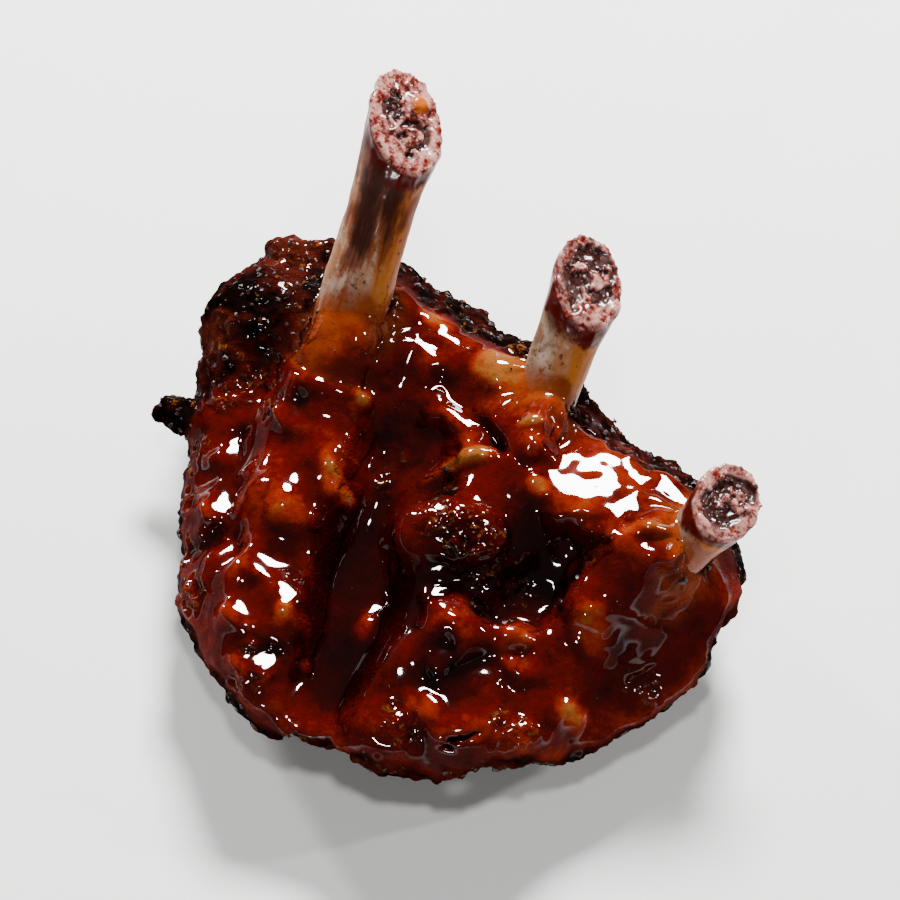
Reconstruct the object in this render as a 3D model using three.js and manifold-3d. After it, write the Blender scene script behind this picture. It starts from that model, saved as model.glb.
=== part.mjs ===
// A rack of three pork ribs, roasted dark and coated with a thick, lumpy sauce. It lies on its meat side
// with the hollow bone side up, and three scraped bones rise from its far edge.
// Millimetres. X runs across the ribs, Y along them towards the scraped bone ends, and Z is up.
import * as THREE from "three";
import { ImprovedNoise } from "three/addons/math/ImprovedNoise.js";
import { mergeVertices } from "three/addons/utils/BufferGeometryUtils.js";
import Module from "manifold-3d";

// Rib bones: a flat oval section that swells where the bone leaves the meat and at the sawn end
const BONE_SIDES = 14;
const BONE_STEPS = 18;
const BONE_FLATNESS = 0.8;
const BONE_GAP = 0.3;
const ROOT_SWELL = { at: 0.62, length: 0.1, size: 0.12 };
const TIP_SWELL = { at: 1, length: 0.1, size: 0.2 };
const SAW_START = 0.8;
const BONE_LUMPS = { around: 1.3, along: 9, height: 0.06 };
const ROUTE_SAMPLES = 80;

// Each rib runs from its inner end, through the low middle of the rack and the place where it leaves the
// meat, to its tip. The saw cut leans by so much towards the hollow side and towards the next rib.
const RIBS = [
  {
    name: "rib_bone_1",
    route: [[-13, -41, 18.5], [-16, -18, 17.5], [-18, 9, 30], [-16.6, 38.5, 59]],
    width: 11.8,
    sawLean: { up: 1.0, across: 0.65 },
  },
  {
    name: "rib_bone_2",
    route: [[14, -44, 18], [16.5, -20, 17], [17.6, 6, 27.5], [20, 27.5, 45]],
    width: 10.8,
    sawLean: { up: 1.1, across: 0.55 },
  },
  {
    name: "rib_bone_3",
    route: [[31, -38, 16.5], [38.5, -24, 16], [46, -11.5, 24.6], [54.6, -1.5, 37.5]],
    width: 10.3,
    sawLean: { up: 0.8, across: 0.35 },
  },
];

// Meat: a slab round a centre, given by the radius of its rim at equal angles from +X
const SLAB_CENTRE = { x: 0, y: -12 };
const RIM_RADII = [
  59, 57.5, 50, 42, 38, 40, 45.5, 47, 53, 55, 51.5, 41.5,
  38.5, 37, 37, 39.5, 41.5, 44, 46, 47, 49, 51.5, 54, 57,
];
const SLAB_DETAIL = 19;
const TOP_SHARE = 0.4;
const EDGE_SQUARENESS = 3.2;
const EDGE_CROWDING = 1.8;
const BONE_COVER = 8.6;
const BELLY_DROP = 2;
const BELLY_LEVEL = -40;
const BELLY_RISE = { x: 0.0036, y: 0.0042 };
const FAR_EDGE_RADIUS = 26;
const RIDGE_WIDTH = 8.6;
const VALLEY_DEPTH = 8;

// Swellings of the upper side: place, radius and height, where a hollow has a negative height
const SWELLINGS = [
  { x: 32, y: -2, r: 12, h: 10 }, // the smooth lobe between the second and third ribs
  { x: 11, y: -17, r: 11, h: 6 }, // the mound at the middle of the rack
  { x: 0, y: 13, r: 13, h: 4 }, // the full part between the first and second bones
  { x: -38, y: 18, r: 15, h: 3.5 }, // the thick dark flap beside the first rib
  { x: -28.5, y: 4, r: 6, h: -5 }, // the crease between the flap and the first rib
  { x: -6, y: -25, r: 8.5, h: -5 }, // the deep hollow between the first and second ribs
  { x: 2, y: -39, r: 9, h: -5 },
  { x: 26.5, y: -19, r: 5, h: -4 },
  { x: 5.9, y: 16.1, r: 6, h: 3.5 }, // single lumps under the sauce
  { x: -5.4, y: 23, r: 5, h: 3 },
  { x: 7.5, y: -1.4, r: 5, h: 3 },
  { x: 21.4, y: -2.5, r: 4, h: 2.5 },
  { x: -11.7, y: -11, r: 4.5, h: 2.8 },
  { x: -17, y: -19.4, r: 5, h: 3.2 },
  { x: -26, y: -20, r: 6, h: 3.5 },
  { x: -23, y: -36, r: 6, h: 3.2 },
  { x: -8, y: -37.7, r: 5, h: 3 },
  { x: 3, y: -34.5, r: 3.5, h: 2.8 },
  { x: 38, y: -20, r: 7, h: 3 },
  { x: 46, y: -15.5, r: 8, h: 5.5 }, // the meat round the foot of the third bone
];

// Knobs that stand out over the slab: centre, half sizes, and the turn about Z in degrees
const KNOBS = [
  { at: [10.5, -19, 28], half: [9, 6.6, 5.6], turn: 20 }, // the crusted knob at the middle of the rack
  { at: [16.4, -19.6, 32], half: [5, 4.6, 4.4], turn: 0 },
  { at: [18.4, -34, 26], half: [5.4, 6.6, 5.4], turn: 10 },
  { at: [27.5, -31.5, 23.5], half: [5, 5, 4.6], turn: -20 },
  { at: [37.5, -22.5, 27], half: [4.8, 4.4, 4], turn: 30 },
  { at: [-41.5, -3.2, 14.5], half: [7, 3.2, 2.8], turn: 4 }, // the torn scrap that sticks out at the side
  { at: [-29.5, 28, 23], half: [10, 4.8, 5.2], turn: 6 }, // the curled lip of the dark flap
];
const KNOB_DETAIL = 3;
const KNOB_LUMPS = { broad: { frequency: 1.4, share: 0.34 }, fine: { frequency: 3.6, share: 0.16 } };

const COARSE_LUMPS = { size: 15, height: 1.6 };
const FINE_LUMPS = { size: 5.6, height: 1.5 };
const SIDE_LUMPS = { size: 7, height: 2, layers: 9, fade: 6 };
const BELLY_LUMPS = { size: 15, height: 2.1 };

const FLOOR_SIZE = 200;

const COLOURS = { meat: 0x5a160b, bone: 0xd9b98a };

const noise = new ImprovedNoise();
const UP = new THREE.Vector3(0, 0, 1);

const wasm = await Module();
wasm.setup();

function solidOf(geometry) {
  geometry.deleteAttribute("normal");
  geometry.deleteAttribute("uv");
  const merged = mergeVertices(geometry, 1e-4);
  return new wasm.Manifold(
    new wasm.Mesh({
      numProp: 3,
      vertProperties: merged.attributes.position.array,
      triVerts: new Uint32Array(merged.index.array),
    }),
  );
}

function geometryOf(solid) {
  const mesh = solid.getMesh();
  return new THREE.BufferGeometry()
    .setAttribute("position", new THREE.BufferAttribute(mesh.vertProperties, 3))
    .setIndex(new THREE.BufferAttribute(mesh.triVerts, 1));
}

// Moves every vertex of a geometry to the place that a function of its old place gives
function reshape(geometry, placeOf) {
  const position = geometry.attributes.position;
  const v = new THREE.Vector3();
  for (let i = 0; i < position.count; i++) {
    v.copy(placeOf(v.fromBufferAttribute(position, i)));
    position.setXYZ(i, v.x, v.y, v.z);
  }
  return geometry;
}

function bell(distance, radius) {
  return Math.exp(-((distance / radius) ** 2));
}

// As the bell, with a flat top and steeper sides
function flatBell(distance, radius) {
  return Math.exp(-((distance / radius) ** 4));
}

function lumps(x, y, z, kind) {
  return kind.height * noise.noise(x / kind.size, y / kind.size, z / kind.size);
}

function ribCurve(rib) {
  return new THREE.CatmullRomCurve3(rib.route.map((p) => new THREE.Vector3(...p)));
}

function swell(share, kind) {
  return kind.size * bell(share - kind.at, kind.length);
}

// One rib bone, or, grown by a gap, the channel that it lies in
function boneSolid(rib, grow = 0) {
  const curve = ribCurve(rib);
  const seed = curve.getPointAt(1).x;
  const rod = new THREE.CylinderGeometry(1, 1, 1, BONE_SIDES, BONE_STEPS);
  return solidOf(
    reshape(rod, (v) => {
      const share = v.y + 0.5;
      const centre = curve.getPointAt(share);
      const tangent = curve.getTangentAt(share);
      const side = tangent.clone().cross(UP).normalize();
      const normal = side.clone().cross(tangent);
      const { around, along, height } = BONE_LUMPS;
      const uneven = 1 + height * noise.noise(v.x * around + seed, v.z * around, share * along);
      const scale = uneven * (1 + swell(share, ROOT_SWELL) + swell(share, TIP_SWELL));
      const across = v.x * ((rib.width / 2) * scale + grow);
      const out = v.z * ((rib.width / 2) * BONE_FLATNESS * scale + grow);
      const nearTip = THREE.MathUtils.smoothstep(share, SAW_START, 1);
      const slant = -(across * rib.sawLean.across + out * rib.sawLean.up) * nearTip;
      const beyond = (share - 0.5) * 2 * grow;
      return centre
        .addScaledVector(side, across)
        .addScaledVector(normal, out)
        .addScaledVector(tangent, slant + beyond);
    }),
  );
}

// Each rib's route as places at even steps, to look up where it is at a given Y
const ribTracks = RIBS.map((rib) => ribCurve(rib).getSpacedPoints(ROUTE_SAMPLES));

function ribAt(track, y) {
  const last = track.length - 1;
  const found = track.findIndex((p) => p.y > y);
  const next = found < 0 ? last : Math.max(found, 1);
  const share = THREE.MathUtils.clamp((y - track[next - 1].y) / (track[next].y - track[next - 1].y), 0, 1);
  return track[next - 1].clone().lerp(track[next], share);
}

// The height of the rib sheet: along a rib it covers the bone, and past the place where the bone leaves
// the meat it rolls down to the far edge
function sheetAlongRib(index, y) {
  const leaves = RIBS[index].route[2][1];
  const rib = ribAt(ribTracks[index], Math.min(y, leaves));
  const past = Math.max(0, y - (leaves + 2));
  return { x: rib.x, z: rib.z + BONE_COVER - (past * past) / (2 * FAR_EDGE_RADIUS) };
}

function upperSurface(x, y) {
  const [first, second, third] = RIBS.map((rib, i) => sheetAlongRib(i, y));
  const toSecond = THREE.MathUtils.smoothstep(x, first.x, second.x);
  const toThird = THREE.MathUtils.smoothstep(x, second.x, third.x);
  const sheet = first.z + (second.z - first.z) * toSecond + (third.z - second.z) * toThird;
  const ridge = Math.max(...[first, second, third].map((rib) => flatBell(x - rib.x, RIDGE_WIDTH)));
  const swellings = SWELLINGS.reduce((sum, s) => {
    const height = s.h * bell(Math.hypot(x - s.x, y - s.y), s.r);
    return sum + (s.h < 0 ? height * (1 - ridge) : height);
  }, 0);
  const small = lumps(x, y, 0, COARSE_LUMPS) + lumps(x, y, 0, FINE_LUMPS);
  return sheet - VALLEY_DEPTH * (1 - ridge) + swellings + small;
}

function lowerSurface(x, y) {
  const bowl = BELLY_RISE.x * x * x + BELLY_RISE.y * (y - SLAB_CENTRE.y) ** 2;
  return bowl - BELLY_DROP + lumps(x, y, BELLY_LEVEL, BELLY_LUMPS);
}

// The rim's radius at an angle, by a smooth closed curve through the listed radii
function rimRadius(angle) {
  const count = RIM_RADII.length;
  const place = ((angle / (2 * Math.PI)) * count + count) % count;
  const at = (i) => RIM_RADII[(Math.floor(place) + i + count) % count];
  const t = place - Math.floor(place);
  const [a, b, c, d] = [at(-1), at(0), at(1), at(2)];
  return b + 0.5 * t * (c - a + t * (2 * a - 5 * b + 4 * c - d + t * (3 * (b - c) + d - a)));
}

function slabSolid() {
  const ball = new THREE.IcosahedronGeometry(1, SLAB_DETAIL);
  return solidOf(
    reshape(ball, (v) => {
      // The ball's triangles are crowded towards its upper side, where the relief is
      const direction = v.clone().setZ(v.z + TOP_SHARE).normalize();
      const angle = Math.atan2(direction.y, direction.x);
      // The slab's section is a superellipse: reach is the share of the way out to the rim, and level is
      // the share of the height above or below the middle
      const outward = Math.SQRT2 * Math.sin(Math.acos(Math.abs(direction.z)) / 2);
      const turn = (Math.PI / 2) * outward ** EDGE_CROWDING;
      const reach = Math.sin(turn) ** (2 / EDGE_SQUARENESS);
      const level = Math.sign(direction.z) * Math.cos(turn) ** (2 / EDGE_SQUARENESS);
      const rim = rimRadius(angle);
      const layer = level * SIDE_LUMPS.layers;
      const side = lumps(rim * Math.cos(angle), rim * Math.sin(angle), layer, SIDE_LUMPS);
      const edge = side * reach ** SIDE_LUMPS.fade;
      const radius = reach * rim + edge;
      const x = SLAB_CENTRE.x + radius * Math.cos(angle);
      const y = SLAB_CENTRE.y + radius * Math.sin(angle);
      const upper = upperSurface(x, y);
      const lower = lowerSurface(x, y);
      const middle = (upper + lower) / 2;
      return new THREE.Vector3(x, y, middle + (level * (upper - lower)) / 2);
    }),
  );
}

function knobSolid(knob) {
  const ball = new THREE.IcosahedronGeometry(1, KNOB_DETAIL);
  const turn = THREE.MathUtils.degToRad(knob.turn);
  return solidOf(
    reshape(ball, (v) => {
      const rough = Object.values(KNOB_LUMPS).reduce((sum, { frequency, share }) => {
        const [x, y, z] = v.toArray().map((along) => along * frequency);
        return sum + share * noise.noise(x + knob.at[0], y + knob.at[1], z);
      }, 1);
      return new THREE.Vector3(v.x * knob.half[0], v.y * knob.half[1], v.z * knob.half[2])
        .multiplyScalar(rough)
        .applyAxisAngle(UP, turn)
        .add(new THREE.Vector3(...knob.at));
    }),
  );
}

// The slab and its knobs, with a channel for each bone, standing on a flat spot at the floor
function meatSolid() {
  const under = new THREE.BoxGeometry(FLOOR_SIZE, FLOOR_SIZE, FLOOR_SIZE).translate(0, 0, -FLOOR_SIZE / 2);
  const lumpy = KNOBS.reduce((sum, knob) => sum.add(knobSolid(knob)), slabSolid());
  const cut = RIBS.reduce((rest, rib) => rest.subtract(boneSolid(rib, BONE_GAP)), lumpy);
  return cut.subtract(solidOf(under));
}

function surfaceOf(colour, roughness) {
  return new THREE.MeshStandardMaterial({ color: colour, roughness, metalness: 0 });
}

function piece(name, solid, material) {
  const mesh = new THREE.Mesh(geometryOf(solid), material);
  mesh.name = name;
  return mesh;
}

const rack = new THREE.Group();
rack.add(piece("meat", meatSolid(), surfaceOf(COLOURS.meat, 0.25)));
for (const rib of RIBS) rack.add(piece(rib.name, boneSolid(rib), surfaceOf(COLOURS.bone, 0.5)));

// The middle of the rack's outline stands over the origin
const middle = new THREE.Box3().setFromObject(rack).getCenter(new THREE.Vector3());
for (const part of rack.children) part.geometry.translate(-middle.x, -middle.y, 0);

export default rack;
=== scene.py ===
# A rack of three pork ribs in thick sauce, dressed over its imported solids. Metres, in the solids' frame.
import math
import random

import bmesh
import bpy
import numpy as np
from mathutils import Matrix, Vector, noise
from mathutils.bvhtree import BVHTree


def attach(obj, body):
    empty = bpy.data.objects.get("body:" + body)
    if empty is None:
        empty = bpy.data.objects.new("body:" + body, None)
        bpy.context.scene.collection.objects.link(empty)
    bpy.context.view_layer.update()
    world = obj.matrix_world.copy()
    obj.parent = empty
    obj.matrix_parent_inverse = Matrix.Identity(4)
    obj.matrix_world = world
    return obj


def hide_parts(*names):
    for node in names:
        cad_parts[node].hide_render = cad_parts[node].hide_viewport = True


bl_info = {
    "name": "Rack of Ribs",
    "version": (1, 0, 0),
    "blender": (4, 5, 0),
    "location": "View3D > Sidebar > Ribs",
    "description": "Dresses a rack of roast pork ribs in thick sauce, with scraped bones and a charred crust",
    "category": "Object",
}

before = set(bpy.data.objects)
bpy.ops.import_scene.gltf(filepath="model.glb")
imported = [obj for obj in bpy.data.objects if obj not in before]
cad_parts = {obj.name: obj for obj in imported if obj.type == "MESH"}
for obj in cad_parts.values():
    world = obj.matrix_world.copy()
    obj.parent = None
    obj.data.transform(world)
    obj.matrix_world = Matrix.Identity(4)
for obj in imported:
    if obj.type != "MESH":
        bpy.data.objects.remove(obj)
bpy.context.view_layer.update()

MM = 0.001

# Where each rib leaves the meat and where its tip is, in millimetres, as the solids have them; from what share of its
# bare length it is burnt, how browned its shaft is, where the tan on the side towards the next rib is partly a painted
# rim light, and how dark its sawn end
RIBS = {
    "rib_bone_1": {
        "leaves": (-23.7, 14.8, 30),
        "tip": (-22.3, 44.3, 59),
        "width": 11.8,
        "burnt_from": 0.16,
        "browned": 0.0,
        "dark_end": 0.12,
    },
    "rib_bone_2": {
        "leaves": (11.9, 11.8, 27.5),
        "tip": (14.3, 33.3, 45),
        "width": 10.8,
        "burnt_from": 0.6,
        "browned": 0.12,
        "dark_end": 0.42,
    },
    "rib_bone_3": {
        "leaves": (40.3, -5.7, 24.6),
        "tip": (48.9, 4.3, 37.5),
        "width": 10.3,
        "burnt_from": 0.8,
        "browned": -0.05,
        "dark_end": 0.36,
    },
}

# Pale lumps under the sauce: place in plan, half length, half width, turn in degrees, height, paleness
LUMPS = [
    (3.2, 17.4, 5.4, 3.8, -10, 1.3, 1),
    (-11, 24.6, 3.8, 1.8, -15, 0.7, 0.75),
    (4, 0.4, 6.2, 2, 20, 1.2, 0.9),
    (-21, -16.7, 3.9, 3.6, 0, 1.2, 0.5),
    (-17, -8.5, 2.2, 4, 25, 0.8, 0.85),
    (-14.8, -9.1, 2.2, 2, 0, 0.7, 1),
    (-16.8, 6.2, 1.6, 1.3, 0, 0.4, 0.7),
    (-3, -29.1, 2.4, 4, 5, 0.9, 0.8),
    (-15.4, -34.5, 1.6, 2.6, 10, 0.6, 0.8),
    (-12.8, -34.7, 1.8, 2, 0, 0.4, 0.5),
    (-9.7, -39.9, 1.3, 1.3, 0, 0.4, 0.7),
    (33.6, -19.9, 4.2, 3.4, 0, 0.7, 0.6),
    (23.5, -28.3, 4, 3.8, 0, 0.8, 0.5),
    (17.6, -1.5, 2.6, 2, 40, 0.6, 0.8),
    (12.8, 8.1, 2.4, 1, 30, 0.5, 0.9),
    (36.7, -4.3, 4, 1.6, 30, 0.3, 0.5),
    (27.4, -9.7, 1.6, 1.4, 0, 0.4, 0.7),
    (12, -42, 4, 2.6, -15, 1, 0.7),
    (34, -33, 3.4, 2.4, 30, 0.8, 0.7),
]

# Dry dark crust seen from above: place in plan, reach, and how surely it is bare
BARE_CRUST = [
    (-43, 22, 13, 1), (-36, 32, 10, 1), (-46, 9, 7, 0.85), (-49, 1, 5, 1), (-17, 35.2, 6, 1),
    (-10.6, 33.2, 6.8, 1), (-2.3, 29.8, 6.4, 1), (5, 26.6, 5.2, 1), (19, 25.5, 4, 0.9), (27, 20.8, 4, 0.9),
    (35, 16, 3.4, 0.9),
]

# Meat whose crags stand through the wet sauce: place in plan, reach and height of the crags
RUGGED = [
    (-8.7, -3, 3.4, 0.9), (-6.6, 0.6, 3.2, 0.9), (-4.2, 2.6, 3, 0.8), (3.7, -12.6, 5, 1),
    (11, -14.7, 5.5, 1.2), (-40.5, -15, 4, 1), (-37.5, -24, 4.5, 1), (-42, -6, 4, 1), (-33, -33, 5, 1),
    (-17.4, -44.5, 6, 0.8), (-33, 9, 4.5, 1), (-30.5, 1.5, 3.5, 1), (-30, -6, 3, 0.9),
    (19.6, -15.5, 4.5, 0.7), (-39.9, 6.8, 6, 1), (9, -46, 5, 0.8), (27, -40, 5, 0.8), (44, -22, 5, 0.8),
]

# Smooth sauce: place in plan and reach
CALM = [
    (27.4, 6, 12), (-27, 12, 6), (-9, -18, 11), (-7, -28, 10), (-5, -38, 9), (-22, -27, 6), (-33, -6, 6),
    (-32, -18, 6), (-3, 3, 6),
]

# Patches where the sauce lies square to the light and shines, the broad one first: place in plan, half
# length, half width, turn in degrees and how much it crowns
SHINES = [
    (26, 4, 10.5, 9, 0, 0.004),
    (-4.8, 11, 2.6, 3.4, 0, 0.008),
    (2.6, 6.6, 7.5, 1.9, -25, 0.006),
    (-27, 0.5, 3.2, 2.6, 20, 0.01),
    (-22.6, -34.7, 2.6, 4.2, 10, 0.006),
    (-16.2, -43, 3.6, 3.2, 0, 0.01),
    (-15.6, -32, 2.2, 1.8, 0, 0.01),
    (24.7, -29.4, 3.4, 2.6, -20, 0.008),
    (12.1, -34.3, 1.8, 3.2, 0, 0.01),
    (11.3, -26.1, 3.2, 1.6, 0, 0.01),
    (40.7, -6.8, 3.6, 1.8, 0, 0.008),
    (38.9, 6.5, 3.4, 3, 0, 0.008),
    (-13.5, 18.2, 2.4, 1.8, 0, 0.01),
    (-8.6, 18, 2, 1.8, 0, 0.01),
    (-34, -15.5, 4.2, 2.6, 65, 0.008),
    (-29.5, -25.5, 3.8, 2.6, 60, 0.008),
    (-36, -6, 3.4, 2.2, 80, 0.01),
    (-2.4, -24.6, 3.4, 1.3, 75, 0.008),
    (8.4, -22.6, 2.8, 1.6, 40, 0.01),
]
# All patches: their slope in plan, the share of a patch that sets its height, the half length in mm from which
# a patch's edge is less ragged, and how far in mm a patch may move the sauce
SHINE_SLOPE = (-0.035, -0.145)
PATCH_CORE = 0.6
RAGGED_FROM = 5
PATCH_MOST = 3

# Trenches with standing sauce: from, to, reach to the side and level of the sauce
PUDDLES = [
    ((-9.5, -11), (-4, -47), 9, 17.8),
    ((20, -8), (20, -18), 6, 21.8),
    ((16.5, -33), (18, -42), 7, 24.2),
]

# Lumps and hollows that the sauce has evened out: place in plan and reach
MELTED = [
    (23, -27.5, 8), (33, -18.5, 8), (12.7, -28.5, 8.5), (5, -13.5, 9), (-9, -18, 10), (-6, -31, 9),
    (20, -8, 6), (27, 6, 10),
]

# Edges of the crust drawn redder: crust that took up sauce, and on the flap's far rim partly a painted rim light: place
# in plan and reach
RUDDY_AND_RIM_LIT = [(-40.5, 34, 5), (-30, 35.5, 4), (-44, -3, 4), (-46, 14, 3)]

# Crust that burnt nearly black and stands in sharp crags: place in plan and reach
BURNT = [
    (-17.8, 38.9, 5), (-10.6, 37.6, 6), (-2.3, 34, 6), (6, 30, 6), (18, 27, 6), (26, 22, 6), (34, 18, 6),
    (42, 12, 5), (-50, 1, 5), (-47, 20, 4),
]

# Slopes that the sauce still covers: place in plan and reach
SAUCED_SLOPES = [
    (-33.5, -6, 7), (-33, -17, 7), (-30, -28, 6.5), (-35, 3, 5), (-22, -38, 6), (-10, -16, 9), (-8, -26, 9),
    (-5, -37, 9), (3, -26, 6), (20, -12, 6),
]

# Slopes that bulge: place in plan, reach and bulge
SLOPE_BULGES = [(-35.5, -6, 8, 2.4), (-35, -17, 8, 2.6), (-32, -28, 7.5, 2.2), (-37, 3, 5, 1.2)]

# Deep hollows, where the sauce pools and is drawn nearly black, for the thick sauce and partly as painted shade: place
# in plan and reach
POOLS_AND_SHADE = [(-9, -18, 8), (-5, -36, 9), (20, -12, 7), (13, -37, 6), (3, -26, 6)]

# The burnt knob in the middle: its place in plan and reach
KNOB = {"middle": (9.5, -14.0), "reach": 5.0}

# A bead of fat on the longest bone's sawn end
FAT_BEAD = {"middle": (-21.4, 48.0, 58.7), "reach": 1.7}

# In mm: the voxels of the skins, how much wider than its bone a sleeve of meat is, and how far up it reaches
BODY_VOXEL = 0.55
BONE_VOXEL = 0.32
PLUG_SWELL = 0.5
PLUG_REACH = 11.0

# The film of sauce round a bone's foot, in mm: how thick it starts, how far its end sinks into the bone, up to
# how far from the bone's skin the meat is drawn wholly onto it, and from how far no longer
FILM_THICKNESS = 1.3
FILM_SINK = 0.3
FILM_GRIP = 1.2
FILM_LOOSE = 5.0

# Fixed directions on the rack: the side in plan that the photograph shows, and where it was taken from. The glaze is
# fullest towards the one, and what faces away from the other is dry char, drawn darker as painted shade
SHOWN_SIDE = (0.34, -0.94)
TO_VIEWPOINT = (0.18, -0.5, 0.85)

# Noise: how far a seed moves each kind, and the weakening, fineness, layers, offset and gain of the crags
GRAIN_SHIFT = (17.3, 5.1, 9.7)
CRAG_SHIFT = (11.9, 7.7, 3.3)
CRAG_SHAPE = (1.0, 2.1, 4, 1.0, 2.0)

# Sockets whose names are shared, by number: a Map Range node's, and a Mix node's with its colour output
VALUE, FROM_LOW, FROM_HIGH, TO_LOW, TO_HIGH = range(5)
FACTOR, NUMBER_A, NUMBER_B, COLOUR_A, COLOUR_B = 0, 2, 3, 6, 7
MIXED_COLOUR = 2


def linear(hex_colour):
    """An sRGB hex colour as linear red, green and blue."""
    parts = [int(hex_colour[i : i + 2], 16) / 255 for i in (1, 3, 5)]
    return [c / 12.92 if c <= 0.04045 else ((c + 0.055) / 1.055) ** 2.4 for c in parts]


def colour(label, about, hex_colour):
    """A colour that a user can change, from its sRGB hex value."""
    return bpy.props.FloatVectorProperty(
        name=label, description=about, subtype="COLOR", size=3, min=0, max=1, default=linear(hex_colour)
    )


def length(label, about, mm):
    """A length that a user can change, from its size in millimetres."""
    return bpy.props.FloatProperty(
        name=label, description=about, unit="LENGTH", subtype="DISTANCE", default=mm * MM, precision=5
    )


class RibsSizes(bpy.types.PropertyGroup):
    """Heights of the relief on the meat and the bones."""

    sauce_wave: length("Sauce wave", "Height of the slow waves in the sauce", 0.5)
    sauce_coat: length("Sauce coat", "How far the sauce stands over the bare crust", 0.5)
    crust_crag: length("Crust crag", "Height of the crags in the charred crust", 1.3)
    bone_grain: length("Bone grain", "Height of the long grain on the scraped bones", 0.12)
    marrow_pit: length("Marrow pit", "Depth of the pits in the sawn bone ends", 0.7)


class RibsColours(bpy.types.PropertyGroup):
    """Colours of the sauce, the crust and the bones."""

    # The darkest sauce, drawn in the deepest hollows, stands for thick sauce and partly for painted shade
    pooled_sauce_and_shade: colour("Pooled sauce", "Sauce in the deepest hollows", "#0e0101")
    sauce_deep: colour("Deep sauce", "Sauce where it lies thick", "#200100")
    sauce_body: colour("Sauce", "Sauce at its usual thickness", "#440401")
    sauce_thin: colour("Thin sauce", "Sauce where it runs thin over the meat", "#701a04")
    lump: colour("Lump", "Fat and onion lumps under the sauce", "#7c461a")
    crust_dark: colour("Char", "Charred crust", "#0a0403")
    crust_brown: colour("Crust", "Brown roasted crust", "#300b07")
    crust_red: colour("Red crust", "Crust that took up sauce", "#40140b")
    crust_spot: colour("Fat spot", "Specks of browned fat in the crust", "#6e3a12")
    bone_pale: colour("Bone", "Dry scraped bone", "#ae9886")
    bone_grey: colour("Grey bone", "Bone under a thin dry skin", "#70523e")
    # Its bright tan on the side of a bone towards the next rib also stands for painted rim light
    bone_tan: colour("Tan bone", "Bone browned in the oven", "#9e5a1c")
    bone_stain: colour("Bone stain", "Burnt juices on the bone", "#2a0c05")
    bone_root: colour("Glazed bone", "Bone under thin sauce", "#702d0a")
    marrow: colour("Marrow", "Cooked marrow in the sawn ends", "#6c2a22")
    marrow_pale: colour("Pale marrow", "Dry sponge of the sawn ends", "#b27c72")
    marrow_dark: colour("Dark marrow", "Burnt marrow in the hollows of the sawn ends", "#1a0808")
    fat_bead: colour("Fat bead", "Bead of browned fat on a sawn end", "#a8500e")


def merged_copy(node):
    """A bmesh of a solid, with its loose triangles joined."""
    bm = bmesh.new()
    bm.from_mesh(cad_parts[node].data)
    bmesh.ops.remove_doubles(bm, verts=bm.verts, dist=1e-6)
    return bm


def axes_of(rib):
    """A rib's direction as it leaves the meat, its side towards the next rib, and its hollow side."""
    along = (Vector(rib["tip"]) - Vector(rib["leaves"])).normalized()
    side = along.cross(Vector((0, 0, 1))).normalized()
    return along, side, side.cross(along)


def object_of(bm, name):
    """An object in the scene, with what the bmesh holds as its mesh."""
    mesh = bpy.data.meshes.new(name)
    bm.to_mesh(mesh)
    bm.free()
    piece = bpy.data.objects.new(name, mesh)
    bpy.context.scene.collection.objects.link(piece)
    return piece


def delete(piece):
    """Removes a piece and its mesh."""
    mesh = piece.data
    bpy.data.objects.remove(piece)
    bpy.data.meshes.remove(mesh)


def remeshed(bm, name, voxel_mm):
    """A mesh object of one even skin over everything in the bmesh."""
    rough = object_of(bm, name + "_rough")
    skin = rough.modifiers.new("Skin", "REMESH")
    skin.mode = "VOXEL"
    skin.voxel_size = voxel_mm * MM
    even = bpy.data.meshes.new_from_object(rough.evaluated_get(bpy.context.evaluated_depsgraph_get()))
    delete(rough)
    even.name = name
    piece = bpy.data.objects.new(name, even)
    bpy.context.scene.collection.objects.link(piece)
    return piece


def points_of(mesh):
    """The places of a mesh's vertices in millimetres."""
    flat = np.empty(len(mesh.vertices) * 3)
    mesh.vertices.foreach_get("co", flat)
    return flat.reshape(-1, 3) / MM


def normals_of(mesh):
    """The directions in which a mesh's vertices face."""
    flat = np.empty(len(mesh.vertices) * 3)
    mesh.vertices.foreach_get("normal", flat)
    return flat.reshape(-1, 3)


def edges_of(mesh):
    """The two vertices of each of a mesh's edges."""
    flat = np.empty(len(mesh.edges) * 2, dtype=np.int32)
    mesh.edges.foreach_get("vertices", flat)
    return flat.reshape(-1, 2)


def put_points(mesh, points):
    """Moves a mesh's vertices to places in millimetres."""
    mesh.vertices.foreach_set("co", (points * MM).ravel())
    mesh.update()


def put_masks(mesh, masks):
    """Stores values from 0 to 1 for each vertex, which a material reads."""
    for name, values in masks.items():
        layer = mesh.attributes.new(name, "FLOAT", "POINT")
        layer.data.foreach_set("value", np.clip(values, 0, 1).astype(np.float32))


def relaxed(values, edges, rounds, share=0.5):
    """Values at the vertices, drawn towards the mean of their neighbours."""
    start, end = edges[:, 0], edges[:, 1]
    count = np.bincount(edges.ravel(), minlength=len(values))
    columns = values.reshape(len(values), -1).copy()
    for _ in range(rounds):
        for k in range(columns.shape[1]):
            column = columns[:, k]
            near = np.bincount(start, weights=column[end], minlength=len(column))
            near += np.bincount(end, weights=column[start], minlength=len(column))
            columns[:, k] = column + share * (near / count - column)
    return columns.reshape(values.shape)


def step(values, low, high):
    """A smooth step from 0 at low to 1 at high."""
    t = np.clip((values - low) / (high - low), 0, 1)
    return t * t * (3 - 2 * t)


def bell(distance, reach):
    """A bell curve, 1 in the middle and about a third at its reach."""
    return np.exp(-((distance / reach) ** 2))


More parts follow.
